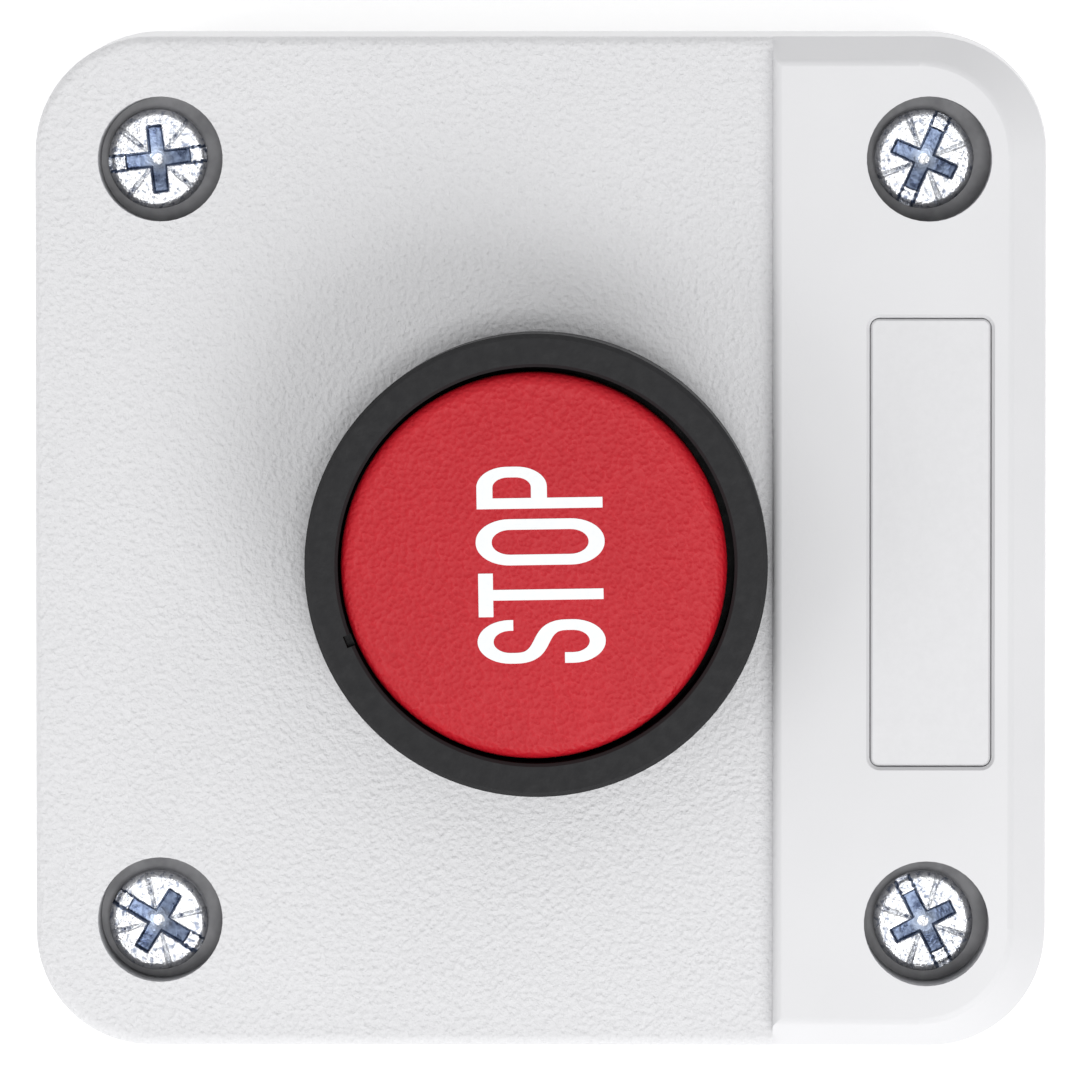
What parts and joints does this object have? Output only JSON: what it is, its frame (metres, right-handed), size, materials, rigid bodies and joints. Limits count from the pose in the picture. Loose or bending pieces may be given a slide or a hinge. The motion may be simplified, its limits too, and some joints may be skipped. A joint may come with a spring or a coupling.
{
  "type": "emergency stop button",
  "caption": "Flush red STOP push button with black bezel in a square light-grey one-way enclosure with recessed corner screws and a blank label strip.",
  "frame": {"origin": "centre of the back mounting plane", "axes": "+Z out of the face, +Y up as the lettering reads, +X to the right as it reads"},
  "size_m": [0.068, 0.068, 0.0626],
  "materials": {
    "lid_plastic": "fine grain",
    "base_plastic": "fine grain",
    "label_plastic": "satin",
    "red_plastic": "fine grain",
    "white_plastic": "satin",
    "black_plastic": "satin",
    "nut_plastic": "satin",
    "stem_plastic": "satin",
    "bush_plastic": "satin",
    "housing_plastic": "satin",
    "cover_plastic": "satin",
    "gasket_rubber": "matt",
    "seal_rubber": "matt",
    "zinc_screw": "bright zinc",
    "spring_steel": "drawn wire",
    "copper": "satin",
    "silver": "satin"
  },
  "bodies": {
    "enclosure": {"base_box": "base_plastic", "lid": "lid_plastic", "lid_gasket": "gasket_rubber", "lid_screws": "zinc_screw", "label_plate": "label_plastic", "bezel": "black_plastic", "bezel_gasket": "seal_rubber", "mounting_nut": "nut_plastic", "guide_bush": "bush_plastic", "stem_seal": "seal_rubber", "return_spring": "spring_steel", "contact_collar": "nut_plastic", "collar_screw": "zinc_screw", "contact_housing": "housing_plastic", "contact_cover": "cover_plastic", "contact_spring": "spring_steel", "fixed_contact_left": "copper", "fixed_contact_right": "copper", "fixed_tips": "silver", "terminal_clamps": "zinc_screw", "terminal_screws": "zinc_screw"},
    "button": {"button_cap": "red_plastic", "stop_lettering": "white_plastic", "stem": "stem_plastic", "stem_clip": "spring_steel"},
    "carrier": {"contact_plunger": "bush_plastic", "contact_bridge": "copper", "bridge_tips": "silver", "bridge_spring": "spring_steel"}
  },
  "joints": [
    {"name": "press", "type": "slide", "parent": "enclosure", "child": "button", "axis": [0, 0, -1], "range_m": [0, 0.004], "stiffness_N_per_m": 1200, "springref_m": -0.002, "deforming": ["return_spring"]},
    {"name": "contact_travel", "type": "slide", "parent": "enclosure", "child": "carrier", "axis": [0, 0, -1], "range_m": [0, 0.004], "stiffness_N_per_m": 300, "springref_m": -0.002, "deforming": ["contact_spring"]}
  ],
  "couplings": [
    {"joint": "contact_travel", "follows": "press", "ratio": 1}
  ]
}
